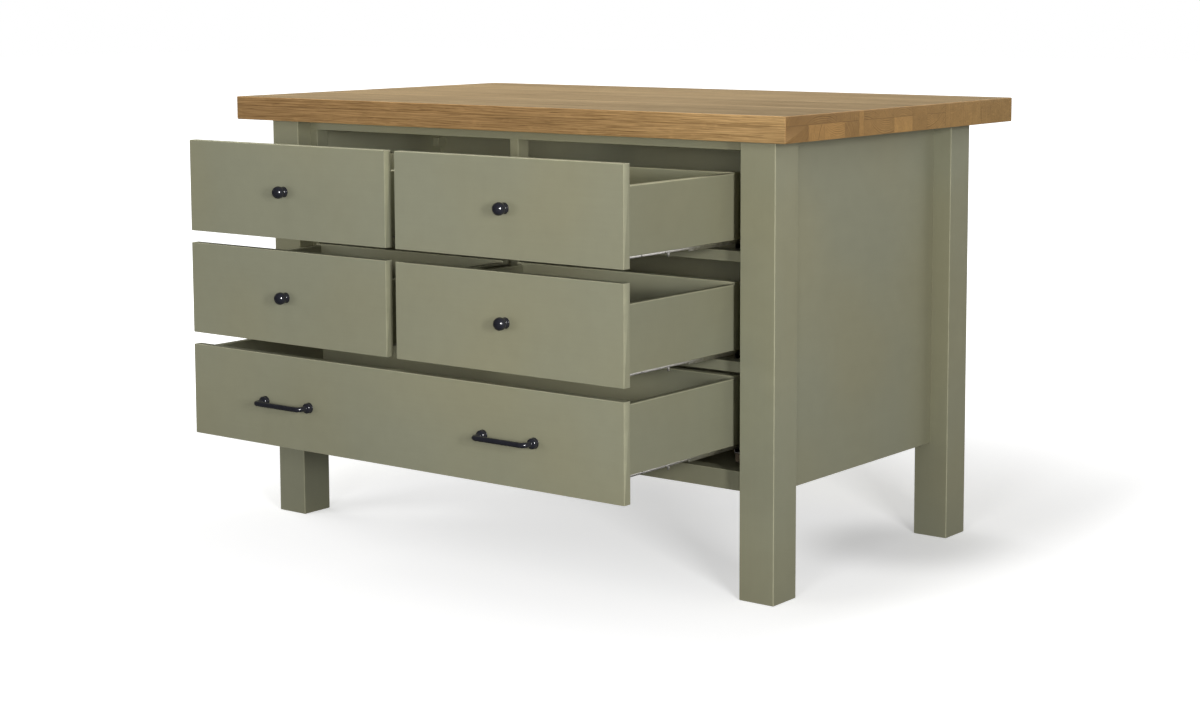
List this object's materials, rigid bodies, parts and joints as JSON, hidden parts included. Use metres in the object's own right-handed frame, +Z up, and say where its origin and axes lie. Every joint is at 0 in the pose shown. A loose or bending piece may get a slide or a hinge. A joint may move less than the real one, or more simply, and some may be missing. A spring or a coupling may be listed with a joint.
{
  "type": "kitchen island unit",
  "caption": "Freestanding kitchen island with an oak worktop, square painted legs, an inset face frame and drawers that slide out on telescopic runners.",
  "frame": {"origin": "on the floor, at the middle of the box round the whole object with its drawers open, as in the picture", "axes": "+X along the length of the island to the right as seen from the drawer side, +Y from the drawer side to the back, +Z up"},
  "size_m": [1.4, 1.156, 0.905],
  "materials": {
    "sage_paint": "satin sage-green paint on timber",
    "inner_paint": "satin sage-green paint on board",
    "oak": "oiled oak staves",
    "bearer_timber": "plain planed softwood",
    "zinc_plated_steel": "zinc plated",
    "screw_steel": "bright zinc plated",
    "black_metal": "glossy black"
  },
  "bodies": {
    "carcass": {"worktop": "oak", "leg_front_left": "sage_paint", "leg_front_right": "sage_paint", "leg_back_left": "sage_paint", "leg_back_right": "sage_paint", "side_panel_left": "sage_paint", "side_panel_right": "sage_paint", "back_panel": "sage_paint", "inner_back_panel": "inner_paint", "bottom_board": "inner_paint", "top_rail": "sage_paint", "mid_rails": "sage_paint", "bottom_rail": "sage_paint", "side_stiles": "sage_paint", "centre_stiles": "sage_paint", "runner_bearers": "bearer_timber", "runner_cabinet_members": "zinc_plated_steel", "corner_blocks": "inner_paint", "worktop_brackets": "zinc_plated_steel", "carcass_screws": "screw_steel"},
    "drawer_top_left": {"drawer_top_left_front": "sage_paint", "drawer_top_left_sides": "sage_paint", "drawer_top_left_back": "sage_paint", "drawer_top_left_base": "inner_paint", "drawer_top_left_knob": "black_metal", "drawer_top_left_knob_bolt": "screw_steel", "drawer_top_left_runner_caps": "zinc_plated_steel"},
    "middles_top_left": {"runner_middles_top_left": "zinc_plated_steel"},
    "drawer_top_right": {"drawer_top_right_front": "sage_paint", "drawer_top_right_sides": "sage_paint", "drawer_top_right_back": "sage_paint", "drawer_top_right_base": "inner_paint", "drawer_top_right_knob": "black_metal", "drawer_top_right_knob_bolt": "screw_steel", "drawer_top_right_runner_caps": "zinc_plated_steel"},
    "middles_top_right": {"runner_middles_top_right": "zinc_plated_steel"},
    "drawer_middle_left": {"drawer_middle_left_front": "sage_paint", "drawer_middle_left_sides": "sage_paint", "drawer_middle_left_back": "sage_paint", "drawer_middle_left_base": "inner_paint", "drawer_middle_left_knob": "black_metal", "drawer_middle_left_knob_bolt": "screw_steel", "drawer_middle_left_runner_caps": "zinc_plated_steel"},
    "middles_middle_left": {"runner_middles_middle_left": "zinc_plated_steel"},
    "drawer_middle_right": {"drawer_middle_right_front": "sage_paint", "drawer_middle_right_sides": "sage_paint", "drawer_middle_right_back": "sage_paint", "drawer_middle_right_base": "inner_paint", "drawer_middle_right_knob": "black_metal", "drawer_middle_right_knob_bolt": "screw_steel", "drawer_middle_right_runner_caps": "zinc_plated_steel"},
    "middles_middle_right": {"runner_middles_middle_right": "zinc_plated_steel"},
    "drawer_bottom": {"drawer_bottom_front": "sage_paint", "drawer_bottom_sides": "sage_paint", "drawer_bottom_back": "sage_paint", "drawer_bottom_base": "inner_paint", "drawer_bottom_handles": "black_metal", "drawer_bottom_handle_bolts": "screw_steel", "drawer_bottom_runner_caps": "zinc_plated_steel"},
    "middles_bottom": {"runner_middles_bottom": "zinc_plated_steel"}
  },
  "joints": [
    {"name": "drawer_top_left_slide", "type": "slide", "parent": "carcass", "child": "drawer_top_left", "axis": [0, 1, 0], "range_m": [0, 0.361]},
    {"name": "middles_top_left_slide", "type": "slide", "parent": "carcass", "child": "middles_top_left", "axis": [0, 1, 0], "range_m": [0, 0.1805]},
    {"name": "drawer_top_right_slide", "type": "slide", "parent": "carcass", "child": "drawer_top_right", "axis": [0, 1, 0], "range_m": [0, 0.361]},
    {"name": "middles_top_right_slide", "type": "slide", "parent": "carcass", "child": "middles_top_right", "axis": [0, 1, 0], "range_m": [0, 0.1805]},
    {"name": "drawer_middle_left_slide", "type": "slide", "parent": "carcass", "child": "drawer_middle_left", "axis": [0, 1, 0], "range_m": [0, 0.361]},
    {"name": "middles_middle_left_slide", "type": "slide", "parent": "carcass", "child": "middles_middle_left", "axis": [0, 1, 0], "range_m": [0, 0.1805]},
    {"name": "drawer_middle_right_slide", "type": "slide", "parent": "carcass", "child": "drawer_middle_right", "axis": [0, 1, 0], "range_m": [0, 0.361]},
    {"name": "middles_middle_right_slide", "type": "slide", "parent": "carcass", "child": "middles_middle_right", "axis": [0, 1, 0], "range_m": [0, 0.1805]},
    {"name": "drawer_bottom_slide", "type": "slide", "parent": "carcass", "child": "drawer_bottom", "axis": [0, 1, 0], "range_m": [0, 0.361]},
    {"name": "middles_bottom_slide", "type": "slide", "parent": "carcass", "child": "middles_bottom", "axis": [0, 1, 0], "range_m": [0, 0.1805]}
  ],
  "couplings": [
    {"joint": "middles_top_left_slide", "follows": "drawer_top_left_slide", "ratio": 0.5},
    {"joint": "middles_top_right_slide", "follows": "drawer_top_right_slide", "ratio": 0.5},
    {"joint": "middles_middle_left_slide", "follows": "drawer_middle_left_slide", "ratio": 0.5},
    {"joint": "middles_middle_right_slide", "follows": "drawer_middle_right_slide", "ratio": 0.5},
    {"joint": "middles_bottom_slide", "follows": "drawer_bottom_slide", "ratio": 0.5}
  ]
}
